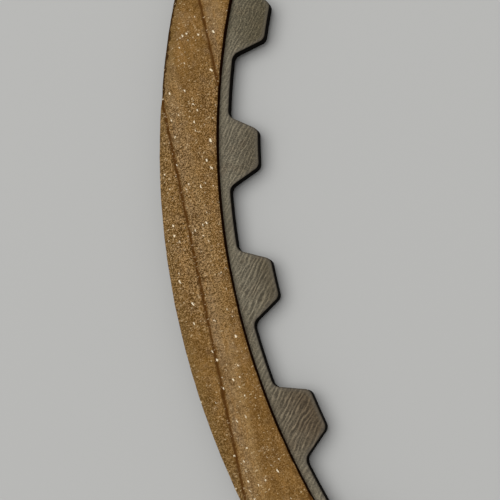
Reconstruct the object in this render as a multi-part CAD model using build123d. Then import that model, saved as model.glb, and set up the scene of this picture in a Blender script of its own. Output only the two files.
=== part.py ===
from build123d import *
import os
from math import floor, hypot, sqrt

# Friction plate of a wet clutch: a flat steel ring with teeth round its inside, and a thin grooved
# friction lining bonded to each side. All lengths are in millimetres. The ring's axis is Z, the
# plate lies on its lower lining at Z = 0, a tooth stands on the X axis, and the grooves run along Y.

# Steel core, from the tooth tips outwards
tip_diameter = 130.0
tooth_height = 3.05
inner_margin = 0.9
outer_margin = 0.05
core_thickness = 0.9

# Teeth, with widths taken across the sharp corners that the fillets round off
tooth_count = 32
tooth_tip_width = 3.7
tooth_root_width = 7.1
tip_fillet = 0.75
root_fillet = 0.9

# Friction linings and the straight V grooves pressed into them
lining_width = 6.0
lining_thickness = 0.7
groove_pitch = 6.0
groove_width = 0.7
groove_depth = 0.15

# Radii that follow from the widths above
tip_radius = tip_diameter / 2
root_radius = tip_radius + tooth_height
lining_inner_radius = root_radius + inner_margin
lining_outer_radius = lining_inner_radius + lining_width
core_radius = lining_outer_radius + outer_margin

# Heights of the stack, from the face that the plate lies on
core_bottom = lining_thickness
core_top = core_bottom + core_thickness

# How near a corner lies to a circle to count as on it
on_circle_tolerance = 0.01


def corner_on_circle(radius, width):
    """Corner of a tooth on the X axis, where its flank meets a circle about the ring's axis."""
    half_width = width / 2
    return Vector(sqrt(radius**2 - half_width**2), half_width)


def tooth_blank():
    """Trapezoid of one tooth, its flanks run on past the tip circle and into the ring."""
    tip = corner_on_circle(tip_radius, tooth_tip_width)
    root = corner_on_circle(root_radius, tooth_root_width)
    run_on = (root - tip).normalized() * (inner_margin / 2)
    inner = tip - run_on
    outer = root + run_on
    return [(inner.X, -inner.Y), (outer.X, -outer.Y), (outer.X, outer.Y), (inner.X, inner.Y)]


def corners_on_circle(sketch, radius):
    """Corners of a sketch that lie on a circle about the ring's axis."""
    return [
        corner
        for corner in sketch.vertices()
        if abs(hypot(corner.X, corner.Y) - radius) < on_circle_tolerance
    ]


def core_outline():
    """Face of the stamped core: a ring with rounded trapezoidal teeth that point at its axis."""
    with BuildSketch() as outline:
        Circle(core_radius)
        Circle(root_radius, mode=Mode.SUBTRACT)
        with PolarLocations(0, tooth_count):
            Polygon(*tooth_blank(), align=None)
        Circle(tip_radius, mode=Mode.SUBTRACT)
        fillet(corners_on_circle(outline, root_radius), root_fillet)
        fillet(corners_on_circle(outline, tip_radius), tip_fillet)
    return outline.sketch


def core_plate():
    """Steel core, in one piece with its teeth, between the two linings."""
    return Pos(0, 0, core_bottom) * extrude(core_outline(), amount=core_thickness)


def grooved_section():
    """Section across the grooves of a sheet as thick as a lining, its flat back on Z = 0."""
    outermost = floor((lining_outer_radius - groove_width / 2) / groove_pitch)
    surface = []
    for place in range(-outermost, outermost + 1):
        middle = place * groove_pitch
        surface.append((middle - groove_width / 2, lining_thickness))
        surface.append((middle, lining_thickness - groove_depth))
        surface.append((middle + groove_width / 2, lining_thickness))
    edge = core_radius
    return [(-edge, 0), (-edge, lining_thickness), *surface, (edge, lining_thickness), (edge, 0)]


def lining():
    """One lining, its flat back on Z = 0 and its grooved face up."""
    ring = Circle(lining_outer_radius) - Circle(lining_inner_radius)
    sheet = extrude(Plane.XZ * Polygon(*grooved_section(), align=None), core_radius, both=True)
    return extrude(ring, amount=lining_thickness) & sheet


def upper_lining():
    """Lining on top of the core, its grooves facing up."""
    return Pos(0, 0, core_top) * lining()


def lower_lining():
    """Lining under the core, its grooves facing down."""
    return Pos(0, 0, core_bottom) * Rot(0, 180, 0) * lining()


os.makedirs("parts", exist_ok=True)
export_step(core_plate(), "parts/core_plate.step")
export_step(upper_lining(), "parts/upper_lining.step")
export_step(lower_lining(), "parts/lower_lining.step")
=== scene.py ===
import math

import bpy
from mathutils import Matrix, Vector, noise


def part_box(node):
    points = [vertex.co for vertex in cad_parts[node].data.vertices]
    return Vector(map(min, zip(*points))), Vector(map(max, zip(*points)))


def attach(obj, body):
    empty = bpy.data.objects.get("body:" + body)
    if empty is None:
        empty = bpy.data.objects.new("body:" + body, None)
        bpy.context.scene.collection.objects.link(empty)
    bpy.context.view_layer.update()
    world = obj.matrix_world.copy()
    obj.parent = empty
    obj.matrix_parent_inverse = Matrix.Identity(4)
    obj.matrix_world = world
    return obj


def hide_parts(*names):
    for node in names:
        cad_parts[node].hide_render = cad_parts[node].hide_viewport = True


# A clutch friction plate: a steel ring with inward teeth and a grooved paper lining on each face.
# Lengths are in metres, in the part's own frame, and in millimetres inside the materials. The
# linings are modelled here with the relief that pressing leaves on them, and every surface gets
# its finish.

MM = 0.001

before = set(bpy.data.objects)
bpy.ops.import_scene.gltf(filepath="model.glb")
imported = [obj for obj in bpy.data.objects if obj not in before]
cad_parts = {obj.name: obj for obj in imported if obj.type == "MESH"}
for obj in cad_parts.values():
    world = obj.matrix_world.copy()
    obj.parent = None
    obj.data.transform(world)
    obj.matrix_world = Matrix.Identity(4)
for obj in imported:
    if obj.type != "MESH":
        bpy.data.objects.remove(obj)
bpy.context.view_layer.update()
core_low, core_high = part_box("core_plate")
lining_low, lining_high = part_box("upper_lining")

# Lining, from the frame and from the sizes of the part that its box does not give
LINING_OUTER = lining_high.y
LINING_WIDTH = 6.0 * MM
LINING_INNER = LINING_OUTER - LINING_WIDTH
GROOVE_PITCH = 6.0 * MM

# Relief pressed into a lining: a round hollow at each groove, a crown on each strip between, and
# the rounding of its edges
GROOVE_HALF_WIDTH = 0.35 * MM
GROOVE_DEPTH = 0.12 * MM
CROWN_DROP = 0.07 * MM
EDGE_ROUNDING = 0.14 * MM
EDGE_DROP = 0.05 * MM

# Worn edges of a lining: how far the paper stands back, and how often that changes in a metre
RAGGED_EDGE = 0.05 * MM
RAGGED_PER_METRE = 2500

# Lines of a lining's mesh, all along Y: steps down a groove's flank, millimetres from a groove's
# middle on the strip beside it, and how many degrees of each edge have a line to a degree
FLANK_STEPS = 5
STRIP_LINES = (0.6, 1.0, 1.5, 2.0, 2.5)
END_DEGREES = 30

# Circles of that mesh: millimetres from an edge, and the number of steps over the width between
EDGE_CIRCLES = (0.0, 0.05, 0.1, 0.15, 0.3, 0.6)
WIDTH_STEPS = 9

# Least distance between two lines, from a line to where a circle ends, and between two corners
LINE_GAP = 0.01 * MM
END_GAP = 0.02 * MM
CORNER_GAP = 0.0001 * MM

# Angle between faces from which their edge is shaded sharp
SHARP_DEGREES = 40

# Core, where its teeth begin and end, with widths across their sharp corners
TOOTH_COUNT = 32
TIP_RADIUS = 65.0 * MM
ROOT_RADIUS = TIP_RADIUS + 3.05 * MM
TOOTH_TIP_WIDTH = 3.7 * MM
TOOTH_ROOT_WIDTH = 7.1 * MM

# Smoothing in millimetres that follows the fillets at the tip and the root of a tooth
TIP_SMOOTHING = 0.72
ROOT_SMOOTHING = 0.87

# Ripples of the rolled sheet: their direction from the X axis, and their pitch in millimetres
GRAIN_DEGREES = 48
RIPPLE_PITCH = 0.38

# Depth of the grain in each material's bump
PAPER_BUMP = 0.06 * MM
STEEL_BUMP = 0.04 * MM

# Shifts in millimetres that lay the slow drifts of the two materials out over the ring
SHARP_GRAIN_SHIFT = (-826.0, -699.5)
LIGHT_PATCH_SHIFT = (91.3, 80.7)
GREY_PATCH_SHIFT = (25.5, 109.3)
DEEP_RIPPLE_SHIFT = (-111.0, 436.0)
BROWN_STEEL_SHIFT = (43.0, 318.0)
OLIVE_STEEL_SHIFT = (204.0, 20.0)

# Colours of the friction paper, its filler and its walls, with painted sheen, glints and shade
BROWN = (0.152, 0.073, 0.013, 1.0)
AMBER = (0.247, 0.127, 0.031, 1.0)
OLIVE = (0.150, 0.093, 0.028, 1.0)
PINK = (0.265, 0.168, 0.086, 1.0)
TAN = (0.268, 0.174, 0.087, 1.0)
SHEEN_TAN = (0.335, 0.200, 0.072, 1.0)
RUST = (0.105, 0.044, 0.007, 1.0)
ORANGE = (0.300, 0.155, 0.042, 1.0)
DARK_EDGE_BAND = (0.045, 0.021, 0.005, 1.0)
GROOVE_SHADE = (0.088, 0.034, 0.006, 1.0)
DARK_GRAIN = (0.065, 0.030, 0.006, 1.0)
LIGHT_GRAIN = (0.45, 0.285, 0.125, 1.0)
FAINT_FILLER_GLINT = (0.60, 0.45, 0.26, 1.0)
BRIGHT_FILLER_GLINT = (0.90, 0.78, 0.56, 1.0)
PAPER_OUTER_WALL = (0.060, 0.030, 0.009, 1.0)
PAPER_INNER_WALL_SHADE = (0.011, 0.003, 0.0, 1.0)

# Colours of the steel, its edges and its walls, with painted shade on its contour and inner walls
TIP_STEEL = (0.080, 0.065, 0.041, 1.0)
BODY_STEEL = (0.138, 0.120, 0.084, 1.0)
DULL_STEEL = (0.095, 0.080, 0.056, 1.0)
STAINED_STEEL = (0.098, 0.066, 0.038, 1.0)
BROWN_STEEL = (0.068, 0.046, 0.026, 1.0)
OLIVE_STEEL = (0.070, 0.058, 0.031, 1.0)
ROLLED_RIM = (0.105, 0.092, 0.074, 1.0)
EDGE_ROLL_SHADE = (0.030, 0.022, 0.014, 1.0)
STEEL_OUTER_WALL = (0.050, 0.043, 0.032, 1.0)
STEEL_INNER_WALL_AND_SHADE = (0.003, 0.002, 0.001, 1.0)

# Camera, at the photograph's viewing angle on one stretch of the ring. Its focal length is in
# pixels of the square picture, and its sensor's width in millimetres.
IMAGE_SIDE = 500
FOCAL_PIXELS = 1093.2
SENSOR_WIDTH = 36.0
VIEW_TARGET = Vector((-66.72 * MM, 3.21 * MM, core_high.z))
VIEW_DISTANCE = 102.7 * MM
VIEW_AZIMUTH = math.radians(46.51)
VIEW_TILT = math.radians(22.0)
VIEW_ROLL = math.radians(-61.19)
NEAR_CLIP = 5.0 * MM

# Plain studio: a pale floor, even light from all round and one soft lamp
FLOOR_HALF = 3.0
FLOOR_GREY = (0.48, 0.48, 0.468, 1.0)
WHITE = (1.0, 1.0, 1.0, 1.0)
WORLD_STRENGTH = 0.52
LAMP_PLACE = Vector((-0.24, 0.19, 0.85))
LAMP_SIZE = 1.2
LAMP_POWER = 5.6


def groove_distance(x):
    """Distance across the lining from the nearest groove's middle."""
    return abs(x - GROOVE_PITCH * round(x / GROOVE_PITCH))


def relief(x, y):
    """How far the pressed face lies below the lining's full thickness."""
    across = groove_distance(x)
    crown = CROWN_DROP * (1 - across / (GROOVE_PITCH / 2)) ** 2
    groove = 0.0
    if across < GROOVE_HALF_WIDTH:
        groove = GROOVE_DEPTH * (0.5 + 0.5 * math.cos(math.pi * across / GROOVE_HALF_WIDTH))
    radius = math.hypot(x, y)
    to_edge = max(0.0, min(LINING_OUTER - radius, radius - LINING_INNER))
    edge = EDGE_DROP * max(0.0, 1 - to_edge / EDGE_ROUNDING) ** 2
    return crown + groove + edge


def section_lines(radii):
    """Places on X of the mesh's lines: on grooves, on the strips between and at ends of circles."""
    flank = [GROOVE_HALF_WIDTH * step / FLANK_STEPS for step in range(FLANK_STEPS + 1)]
    steps = [*flank, *(step * MM for step in STRIP_LINES), GROOVE_PITCH / 2]
    reach = math.ceil(LINING_OUTER / GROOVE_PITCH)
    places = []
    for index in range(-reach, reach + 1):
        for step in steps:
            places += [index * GROOVE_PITCH - step, index * GROOVE_PITCH + step]
    for radius in (LINING_INNER, LINING_OUTER):
        for degrees in range(1, END_DEGREES + 1):
            end = radius * math.cos(math.radians(degrees))
            places += [-end, end]
    ends = [sign * radius for radius in radii for sign in (-1, 1)]
    places = [place for place in places if all(abs(place - end) > END_GAP for end in ends)] + ends
    chosen = []
    for place in sorted(place for place in places if abs(place) <= LINING_OUTER):
        if not chosen or place - chosen[-1] > LINE_GAP:
            chosen.append(place)
    return chosen


def ring_radii():
    """Circles that carry the lining's mesh, close together at its two edges."""
    inner = [LINING_INNER + step * MM for step in EDGE_CIRCLES]
    outer = [LINING_OUTER - step * MM for step in reversed(EDGE_CIRCLES)]
    first, last = inner[-1], outer[0]
    middle = [first + (last - first) * step / WIDTH_STEPS for step in range(1, WIDTH_STEPS)]
    return inner + middle + outer


class Shell:
    """Vertices and faces of one closed mesh, with points shared by name."""

    def __init__(self):
        self.vertices = []
        self.faces = []
        self.known = {}

    def point(self, key, place):
        """Index of the vertex called key, made at place if it is new."""
        if key not in self.known:
            self.known[key] = len(self.vertices)
            self.vertices.append(place)
        return self.known[key]

    def face(self, corners):
        """Adds a face, leaving out corners that fall together."""
        kept = [corner for i, corner in enumerate(corners) if corner != corners[i - 1]]
        if len(set(kept)) > 2:
            self.faces.append(kept)


def lining_shell(back, up):
    """A lining on the height back, its grooved face turned up (1) or down (-1)."""
    thickness = lining_high.z - lining_low.z
    radii = ring_radii()
    inner, outer = radii[0], radii[-1]
    lines = section_lines(radii)
    shell = Shell()

    def corner(layer, radius, x, side):
        """Vertex on the face or the back where a circle meets a line, on one side of the X axis."""
        y = side * math.sqrt(max(0.0, radius**2 - x**2))
        height = thickness - relief(x, y) if layer == "face" else 0.0
        place = Vector((x, y, back + up * height))
        if layer == "face" and radius in (inner, outer) and abs(x) < radius:
            worn = RAGGED_EDGE * (0.5 + 0.5 * noise.noise(place * RAGGED_PER_METRE))
            place.xy *= 1 + (worn if radius == inner else -worn) / radius
        return shell.point((layer, round(x / CORNER_GAP), round(y / CORNER_GAP)), place)

    def patch(x0, x1, side, turn, near, far):
        """Face between two circles, each a layer and a radius, over one stretch of X."""
        corners = [corner(*near, x0, side), corner(*near, x1, side)]
        corners += [corner(*far, x1, side), corner(*far, x0, side)]
        shell.face(corners[::turn])

    for side in (-1, 1):
        turn = side * up
        for x0, x1 in zip(lines, lines[1:]):
            for r0, r1 in zip(radii, radii[1:]):
                patch(x0, x1, side, turn, ("face", r0), ("face", r1))
            patch(x0, x1, side, -turn, ("back", inner), ("back", outer))
            patch(x0, x1, side, turn, ("face", outer), ("back", outer))
            if max(abs(x0), abs(x1)) <= inner:
                patch(x0, x1, side, -turn, ("face", inner), ("back", inner))
    return shell


def make_lining(name, node, back, up):
    """One lining as a mesh that stands for its CAD node."""
    shell = lining_shell(back, up)
    mesh = bpy.data.meshes.new(name)
    mesh.from_pydata(shell.vertices, [], shell.faces)
    mesh.validate()
    mesh.shade_smooth()
    mesh.set_sharp_from_angle(angle=math.radians(SHARP_DEGREES))
    lining = bpy.data.objects.new(name, mesh)
    bpy.context.scene.collection.objects.link(lining)
    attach(lining, "root")
    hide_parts(node)
    return lining


class Tree:
    """A material's nodes, each made by one call that returns its output."""

    # A mix node's sockets for colours, which share their names with those for other kinds of value
    FIRST_COLOUR = 6
    SECOND_COLOUR = 7
    MIXED_COLOUR = 2

    def __init__(self, name):
        self.material = bpy.data.materials.new(name)
        self.material.use_nodes = True
        self.nodes = self.material.node_tree.nodes
        self.links = self.material.node_tree.links
        self.shader = self.nodes["Principled BSDF"]

    def add(self, kind, **settings):
        """New node with its settings."""
        made = self.nodes.new(kind)
        for name, value in settings.items():
            setattr(made, name, value)
        return made

    def feed(self, socket, value):
        """Gives an input a number or colour, or a link from another node's output."""
        if isinstance(value, bpy.types.NodeSocket):
            self.links.new(value, socket)
        else:
            socket.default_value = value

    def set(self, name, value):
        """Gives one of the shader's inputs its value."""
        self.feed(self.shader.inputs[name], value)

    def math(self, operation, *values):
        """Result of one sum on numbers."""
        made = self.add("ShaderNodeMath", operation=operation)
        for socket, value in zip(made.inputs, values):
            self.feed(socket, value)
        return made.outputs[0]

    def vector_math(self, operation, *values):
        """Result of one sum on places or colours."""
        made = self.add("ShaderNodeVectorMath", operation=operation)
        for socket, value in zip(made.inputs, values):
            self.feed(socket, value)
        return made.outputs[0]

    def place(self):
        """Place on the object in millimetres."""
        made = self.add("ShaderNodeTexCoord")
        return self.vector_math("MULTIPLY", made.outputs["Object"], (1 / MM, 1 / MM, 1 / MM))

    def upright(self):
        """One on faces that stand upright, zero on faces that lie flat."""
        made = self.add("ShaderNodeTexCoord")
        z = self.split(made.outputs["Normal"])[2]
        return self.range(self.math("ABSOLUTE", z), 0.4, 0.8, 1.0, 0.0)

    def moved(self, place, shift):
        """Place shifted along X and Y, to lay a drift out elsewhere on the ring."""
        return self.vector_math("ADD", place, (*shift, 0.0))

    def scaled(self, place, along_x, along_y):
        """Place with its X and Y multiplied, which draws out what is laid on it."""
        return self.vector_math("MULTIPLY", place, (along_x, along_y, 1.0))

    def turned(self, place, degrees):
        """Place turned about Z so that its X runs at an angle in degrees."""
        made = self.add("ShaderNodeMapping", vector_type="TEXTURE")
        made.inputs["Rotation"].default_value = (0, 0, math.radians(degrees))
        self.feed(made.inputs["Vector"], place)
        return made.outputs[0]

    def jagged(self, place, per_mm, reach):
        """Place thrown about by a fine noise, which makes round spots irregular."""
        made = self.add("ShaderNodeTexNoise")
        self.feed(made.inputs["Vector"], place)
        made.inputs["Scale"].default_value = per_mm
        spread = (2 * reach, 2 * reach, 0.0)
        return self.vector_math("MULTIPLY_ADD", made.outputs["Color"], spread, place)

    def noise(self, place, per_mm, detail=2.0, roughness=0.5):
        """Smooth noise from 0 to 1, about per_mm changes in a millimetre."""
        made = self.add("ShaderNodeTexNoise")
        self.feed(made.inputs["Vector"], place)
        made.inputs["Scale"].default_value = per_mm
        made.inputs["Detail"].default_value = detail
        made.inputs["Roughness"].default_value = roughness
        return made.outputs[0]

    def cells(self, place, per_mm):
        """Cellular pattern on the flat: distance from a cell's middle, and three numbers a cell."""
        made = self.add("ShaderNodeTexVoronoi", voronoi_dimensions="2D")
        self.feed(made.inputs["Vector"], place)
        made.inputs["Scale"].default_value = per_mm
        return made.outputs["Distance"], self.split(made.outputs["Color"])

    def range(self, value, low, high, to_low=0.0, to_high=1.0, smooth=False):
        """Value carried from one range to another and held at its ends."""
        made = self.add("ShaderNodeMapRange")
        made.interpolation_type = "SMOOTHSTEP" if smooth else "LINEAR"
        self.feed(made.inputs["Value"], value)
        ends = {"From Min": low, "From Max": high, "To Min": to_low, "To Max": to_high}
        for name, number in ends.items():
            self.feed(made.inputs[name], number)
        return made.outputs[0]

    def mix(self, factor, first, second):
        """Blend of two colours."""
        made = self.add("ShaderNodeMix", data_type="RGBA")
        self.feed(made.inputs["Factor"], factor)
        self.feed(made.inputs[self.FIRST_COLOUR], first)
        self.feed(made.inputs[self.SECOND_COLOUR], second)
        return made.outputs[self.MIXED_COLOUR]

    def tint(self, base, colour, value, none_at, full_at, most, smooth=False):
        """Base taken towards a colour, by up to most, as a value goes from none_at to full_at."""
        share = self.range(value, none_at, full_at, 0.0, most, smooth=smooth)
        return self.mix(share, base, colour)

    def bump(self, height, distance, strength):
        """Normal bent by a height."""
        made = self.add("ShaderNodeBump")
        made.inputs["Strength"].default_value = strength
        made.inputs["Distance"].default_value = distance
        self.feed(made.inputs["Height"], height)
        return made.outputs[0]

    def split(self, vector):
        """The three parts of a place or colour."""
        made = self.add("ShaderNodeSeparateXYZ")
        self.feed(made.inputs[0], vector)
        return made.outputs


def ring_radius(t, place):
    """Distance in millimetres from the ring's axis."""
    x, y, _ = t.split(place)
    return t.math("SQRT", t.math("ADD", t.math("MULTIPLY", x, x), t.math("MULTIPLY", y, y)))


def specks(t, place, lean, per_mm, share, smallest, largest):
    """Irregular spots, longer one way, in some of the cells of a cellular pattern, in clusters."""
    squeezed = t.scaled(t.turned(place, lean), 0.8, 1.4)
    distance, pick = t.cells(t.jagged(squeezed, 6.0, 0.22), per_mm)
    cluster = t.noise(place, 0.35, detail=1.0)
    least = t.range(cluster, 0.35, 0.65, 1 - share * 0.3, 1 - share * 1.7)
    size = t.range(t.math("POWER", pick[1], 2.2), 0.0, 1.0, smallest * per_mm, largest * per_mm)
    spot = t.range(t.math("DIVIDE", distance, size), 0.5, 1.0, 1.0, 0.0, smooth=True)
    return t.math("MULTIPLY", t.math("GREATER_THAN", pick[0], least), spot)


def grains(t, place, base):
    """Paper's colour with dark and light grains of filler in it, and the height of the grains."""
    sharp = t.noise(t.moved(place, SHARP_GRAIN_SHIFT), 0.06, detail=1.0)
    sharpness = t.range(sharp, 0.35, 0.65, 0.5, 1.15)
    coarse = t.noise(place, 4.8, detail=3.0, roughness=0.75)
    fine = t.noise(place, 10.0, detail=1.0)
    chips = t.cells(t.jagged(place, 9.0, 0.08), 9.0)[1][0]
    for value, none_at, full_at, most, colour in (
        (coarse, 0.52, 0.34, 0.45, DARK_GRAIN),
        (coarse, 0.52, 0.72, 0.28, LIGHT_GRAIN),
        (fine, 0.52, 0.36, 1.0, DARK_GRAIN),
        (fine, 0.52, 0.70, 0.85, LIGHT_GRAIN),
        (chips, 0.24, 0.0, 0.8, DARK_GRAIN),
        (chips, 0.80, 1.0, 0.7, LIGHT_GRAIN),
    ):
        share = t.range(value, none_at, full_at, 0.0, most)
        base = t.mix(t.math("MULTIPLY", share, sharpness), base, colour)
    return base, t.math("ADD", coarse, t.math("MULTIPLY", fine, 0.5))


def painted_sheen_band(t, x, blotches, base):
    """Paper's colour with painted sheen, a paler band on the lit side of each groove."""
    wander = t.range(blotches, 0.3, 0.7, -0.13, 0.13)
    across = t.math("FLOORED_MODULO", t.math("ADD", x, wander), GROOVE_PITCH / MM)
    near = t.range(across, 0.05, 0.35)
    far = t.range(across, 1.75, 2.35, 0.9, 0.0, smooth=True)
    colour = t.mix(t.range(across, 0.6, 1.8), TAN, SHEEN_TAN)
    return t.mix(t.math("MULTIPLY", near, far), base, colour)


def hue_drifts(t, place, blotches, base):
    """Paper's colour with its slow drifts, its blotches and the streaks along the grooves."""
    blush = t.noise(t.moved(place, GREY_PATCH_SHIFT), 0.6, detail=3.0, roughness=0.6)
    streaks = t.noise(t.scaled(place, 1.0, 0.25), 1.4, detail=3.0)
    base = t.tint(base, PINK, blush, 0.52, 0.68, 0.6)
    base = t.tint(base, AMBER, blush, 0.46, 0.32, 0.5)
    base = t.tint(base, RUST, blotches, 0.48, 0.32, 0.55)
    base = t.tint(base, TAN, blotches, 0.54, 0.70, 0.30)
    base = t.tint(base, RUST, streaks, 0.46, 0.32, 0.45)
    return t.tint(base, ORANGE, streaks, 0.52, 0.66, 0.65)


def dark_outer_edge(t, place, x, from_outer, base):
    """Paper's colour with a dark band along its outer edge on every second strip between grooves."""
    strip = t.math("FLOORED_MODULO", t.math("FLOOR", t.math("DIVIDE", x, GROOVE_PITCH / MM)), 2.0)
    width = t.range(t.noise(place, 1.6, detail=2.0), 0.35, 0.65, 0.20, 0.42)
    edge_band = t.range(t.math("DIVIDE", from_outer, width), 0.7, 1.15, 1.0, 0.0, smooth=True)
    return t.mix(t.math("MULTIPLY", edge_band, t.math("LESS_THAN", strip, 0.5)), base, DARK_EDGE_BAND)


def painted_groove_shade(t, place, x, blotches, base):
    """Paper's colour with painted shade in each groove's hollow, uneven in width and depth."""
    half_pitch = GROOVE_PITCH / MM / 2
    drift = t.range(t.noise(place, 1.5, detail=3.0, roughness=0.6), 0.3, 0.7, 0.02, 0.10)
    from_groove = t.math("ABSOLUTE", t.math("WRAP", t.math("ADD", x, drift), half_pitch, -half_pitch))
    half_width = t.range(blotches, 0.3, 0.7, 0.29, 0.16)
    line = t.range(t.math("DIVIDE", from_groove, half_width), 0.15, 1.0, 1.0, 0.0, smooth=True)
    depth = t.range(blotches, 0.3, 0.7, 1.0, 0.85)
    return t.mix(t.math("MULTIPLY", line, depth), base, GROOVE_SHADE)


def friction_paper():
    """Resin-filled friction paper: mottled brown, granular, with pale filler specks whose glints are
    painted.
    """
    t = Tree("friction_paper")
    place = t.place()
    x = t.split(place)[0]
    radius = ring_radius(t, place)
    from_inner = t.math("SUBTRACT", radius, LINING_INNER / MM)
    from_outer = t.math("SUBTRACT", LINING_OUTER / MM, radius)
    patches = t.noise(t.moved(place, LIGHT_PATCH_SHIFT), 0.42, detail=3.0, roughness=0.6)
    blotches = t.noise(place, 1.2, detail=4.0, roughness=0.65)

    base = t.mix(t.range(patches, 0.36, 0.64), BROWN, AMBER)
    base = painted_sheen_band(t, x, blotches, base)
    base = hue_drifts(t, place, blotches, base)

    # darker towards both edges, under the grains
    base = t.tint(base, RUST, from_inner, 0.55, 0.0, 0.7, smooth=True)
    base = t.tint(base, OLIVE, from_outer, 1.5, 0.1, 0.6, smooth=True)
    base, height = grains(t, place, base)
    base = dark_outer_edge(t, place, x, from_outer, base)
    base = painted_groove_shade(t, place, x, blotches, base)

    # pale filler specks, with their glints painted into the colour
    faint = specks(t, place, lean=20, per_mm=3.2, share=0.36, smallest=0.03, largest=0.10)
    bright = specks(t, place, lean=110, per_mm=1.5, share=0.14, smallest=0.05, largest=0.18)
    base = t.mix(t.math("MULTIPLY", faint, 0.7), base, FAINT_FILLER_GLINT)
    base = t.mix(t.math("MULTIPLY", bright, 0.95), base, BRIGHT_FILLER_GLINT)

    # upright walls take their own colours; the inner wall's near black is painted shade
    wall = t.upright()
    wall_colour_and_shade = t.mix(t.range(from_outer, 1.0, 2.0), PAPER_OUTER_WALL, PAPER_INNER_WALL_SHADE)
    t.set("Base Color", t.mix(wall, base, wall_colour_and_shade))
    t.set("Roughness", t.math("MAXIMUM", wall, t.range(height, 0.5, 1.0, 0.88, 0.72)))
    t.set("Specular IOR Level", 0.03)
    t.set("Normal", t.bump(height, PAPER_BUMP, 0.6))
    return t.material


def tooth_insets(t, place):
    """Distances in millimetres into the steel, from its toothed contour and from the tip circle."""
    x, y, _ = t.split(place)
    radius = ring_radius(t, place)

    # place folded onto half a tooth: how far out along the tooth's middle, and how far aside of it
    turn = t.math("PINGPONG", t.math("ARCTAN2", y, x), math.pi / TOOTH_COUNT)
    along = t.math("MULTIPLY", radius, t.math("COSINE", turn))
    aside = t.math("MULTIPLY", radius, t.math("SINE", turn))

    tip, root = [
        Vector((math.sqrt(corner_radius**2 - (width / 2) ** 2), width / 2))
        for corner_radius, width in ((TIP_RADIUS, TOOTH_TIP_WIDTH), (ROOT_RADIUS, TOOTH_ROOT_WIDTH))
    ]
    flank = (root - tip).normalized()
    from_flank = t.math(
        "ADD",
        t.math("MULTIPLY", t.math("SUBTRACT", along, tip.x / MM), flank.y),
        t.math("MULTIPLY", t.math("SUBTRACT", aside, tip.y / MM), -flank.x),
    )
    from_tip = t.math("SUBTRACT", radius, TIP_RADIUS / MM)
    from_root = t.math("SUBTRACT", radius, ROOT_RADIUS / MM)
    tooth = t.math("SMOOTH_MIN", from_tip, from_flank, TIP_SMOOTHING)
    return t.math("SMOOTH_MAX", tooth, from_root, ROOT_SMOOTHING), from_tip


def rolled_ripples(t, place, from_tip):
    """Light and dark of the sheet's wavy ripples and sandy grain, and its finest grain alone."""
    along = t.turned(place, GRAIN_DEGREES)
    bend = t.noise(t.scaled(along, 0.4, 0.8), 1.0, detail=1.0)
    jitter = t.noise(t.scaled(along, 0.9, 2.4), 1.0, detail=1.0)
    sway = t.math("ADD", t.range(bend, 0.2, 0.8, -0.22, 0.22), t.range(jitter, 0.2, 0.8, -0.09, 0.09))
    across = t.math("ADD", t.split(along)[1], sway)
    wave = t.math("SINE", t.math("MULTIPLY", across, 2 * math.pi / RIPPLE_PITCH))
    crest = t.math("POWER", t.range(wave, -1.0, 1.0), 1.8)
    fine = t.noise(t.scaled(along, 0.3, 1.0), 7.0, detail=1.0)
    ripple = t.math("ADD", t.range(crest, 0.0, 1.0, -0.7, 1.4), t.range(fine, 0.3, 0.7, -0.5, 0.5))

    # ripples come in dashes, deeper in some areas, and fade at the tooth tips and towards the rim
    dashes = t.noise(t.scaled(along, 0.8, 2.2), 1.1, detail=1.0)
    depth = t.noise(t.moved(place, DEEP_RIPPLE_SHIFT), 0.1, detail=1.0)
    for strength in (
        t.range(dashes, 0.35, 0.6, 0.25, 1.0),
        t.range(depth, 0.3, 0.7, 0.375, 0.65),
        t.range(from_tip, 0.1, 1.0, 0.35, 1.0),
        t.range(from_tip, 2.9, 3.5, 1.0, 0.65),
    ):
        ripple = t.math("MULTIPLY", ripple, strength)

    sand = t.range(t.noise(place, 8.0, detail=1.0), 0.3, 0.7, -0.45, 0.45)
    sand = t.math("MULTIPLY", sand, t.range(depth, 0.35, 0.65, 1.25, 0.7))
    darkest = -0.42
    return t.math("MAXIMUM", t.math("ADD", ripple, sand), darkest), fine


def steel_tone(t, place, from_tip):
    """Grey of the steel, darker towards the tooth tips, with stains and drifts to brown and olive."""
    dull = t.noise(place, 0.3, detail=2.0)
    stain = t.noise(place, 0.55, detail=3.0)
    brown = t.noise(t.moved(place, BROWN_STEEL_SHIFT), 0.1, detail=1.0)
    olive = t.noise(t.moved(place, OLIVE_STEEL_SHIFT), 0.1, detail=1.0)
    base = t.mix(t.range(from_tip, 0.2, 3.4, smooth=True), TIP_STEEL, BODY_STEEL)
    base = t.tint(base, DULL_STEEL, dull, 0.35, 0.65, 0.4)
    base = t.tint(base, STAINED_STEEL, stain, 0.55, 0.75, 0.4)
    brown_share = t.range(brown, 0.5, 0.75, 0.0, 0.65)
    brown_share = t.math("MULTIPLY", brown_share, t.range(from_tip, 1.0, 4.0, 1.0, 0.5))
    base = t.mix(brown_share, base, BROWN_STEEL)
    return t.tint(base, OLIVE_STEEL, olive, 0.5, 0.75, 0.5)


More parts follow.
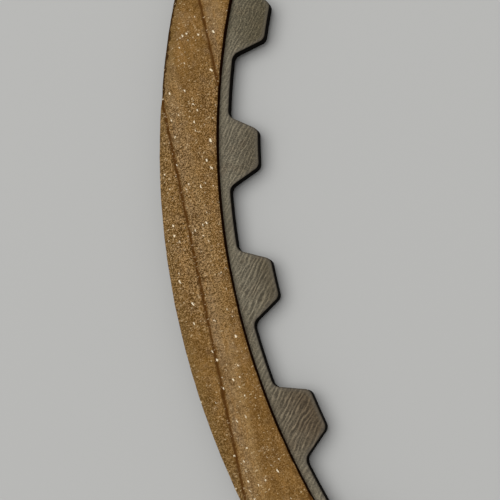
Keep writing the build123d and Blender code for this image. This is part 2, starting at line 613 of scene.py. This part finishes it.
def core_steel():
    """Satin steel sheet with fine wavy ripples all in one direction."""
    t = Tree("core_steel")
    place = t.place()
    from_contour, from_tip = tooth_insets(t, place)
    ripple, fine = rolled_ripples(t, place, from_tip)
    # painted light: the steel lightened beside the lining, against the shade its wall throws there
    ripple_and_rim_light = t.math("ADD", ripple, t.range(from_tip, 3.2, 3.7, 1.0, 1.25))
    base = t.vector_math("MULTIPLY", steel_tone(t, place, from_tip), ripple_and_rim_light)

    # rolled rim, a little greyer, and painted shade in a dark hairline on the contour, where the edge
    # rounds off
    base = t.tint(base, ROLLED_RIM, from_contour, 0.4, 0.1, 0.4)
    base = t.tint(base, EDGE_ROLL_SHADE, from_contour, 0.13, 0.03, 0.6)

    # upright walls take their own colours; the inner walls' near black is a dark sheared edge with
    # painted shade
    wall = t.upright()
    wall_colour_and_shade = t.mix(t.range(from_tip, 5.0, 9.0), STEEL_INNER_WALL_AND_SHADE, STEEL_OUTER_WALL)
    t.set("Base Color", t.mix(wall, base, wall_colour_and_shade))
    t.set("Metallic", t.range(wall, 0.0, 1.0, 0.4, 0.0))
    t.set("Roughness", t.math("MAXIMUM", wall, t.range(fine, 0.3, 0.7, 0.55, 0.42)))
    t.set("Specular IOR Level", 0.08)
    t.set("Normal", t.bump(ripple, STEEL_BUMP, 0.3))
    return t.material


def paint_floor():
    """Plain pale floor."""
    t = Tree("pale_floor")
    t.set("Base Color", FLOOR_GREY)
    t.set("Roughness", 0.9)
    t.set("Specular IOR Level", 0.2)
    return t.material


def make_floor():
    """Square floor at the height that the plate lies on, kept out of the model."""
    corners = [(x * FLOOR_HALF, y * FLOOR_HALF, 0) for x, y in ((-1, -1), (1, -1), (1, 1), (-1, 1))]
    mesh = bpy.data.meshes.new("floor")
    mesh.from_pydata(corners, [], [(0, 1, 2, 3)])
    mesh.materials.append(paint_floor())
    floor = bpy.data.objects.new("floor", mesh)
    bpy.context.scene.collection.objects.link(floor)


def make_camera():
    """Camera that looks at one stretch of the ring as the photograph does."""
    azimuth = Matrix.Rotation(VIEW_AZIMUTH, 4, "Z")
    tilt = Matrix.Rotation(VIEW_TILT, 4, "X")
    roll = Matrix.Rotation(VIEW_ROLL, 4, "Z")
    turn = azimuth @ tilt @ roll
    away = turn.to_3x3() @ Vector((0, 0, VIEW_DISTANCE))
    data = bpy.data.cameras.new("camera")
    data.sensor_width = SENSOR_WIDTH
    data.lens = FOCAL_PIXELS / IMAGE_SIDE * SENSOR_WIDTH
    data.clip_start = NEAR_CLIP
    camera = bpy.data.objects.new("camera", data)
    camera.matrix_world = Matrix.Translation(VIEW_TARGET + away) @ turn
    bpy.context.scene.collection.objects.link(camera)
    bpy.context.scene.camera = camera


def make_lamp():
    """Round soft lamp that faces the origin."""
    data = bpy.data.lights.new("key", "AREA")
    data.shape = "DISK"
    data.size = LAMP_SIZE
    data.energy = LAMP_POWER
    lamp = bpy.data.objects.new("key", data)
    lamp.location = LAMP_PLACE
    lamp.rotation_mode = "QUATERNION"
    lamp.rotation_quaternion = LAMP_PLACE.to_track_quat("Z", "Y")
    bpy.context.scene.collection.objects.link(lamp)


def make_world():
    """Even white light from all round."""
    world = bpy.data.worlds.new("studio")
    world.use_nodes = True
    background = world.node_tree.nodes["Background"]
    background.inputs["Color"].default_value = WHITE
    background.inputs["Strength"].default_value = WORLD_STRENGTH
    bpy.context.scene.world = world


def paint_node(name, material):
    """Gives a solid of the frame its only material."""
    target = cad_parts[name]
    target.data.materials.clear()
    target.data.materials.append(material)


paper = friction_paper()
upper = make_lining("upper_lining_paper", "upper_lining", core_high.z, 1)
lower = make_lining("lower_lining_paper", "lower_lining", core_low.z, -1)
for lining in (upper, lower):
    lining.data.materials.append(paper)
paint_node("core_plate", core_steel())

make_floor()
make_camera()
make_world()
make_lamp()
bpy.context.scene.view_settings.view_transform = "Standard"
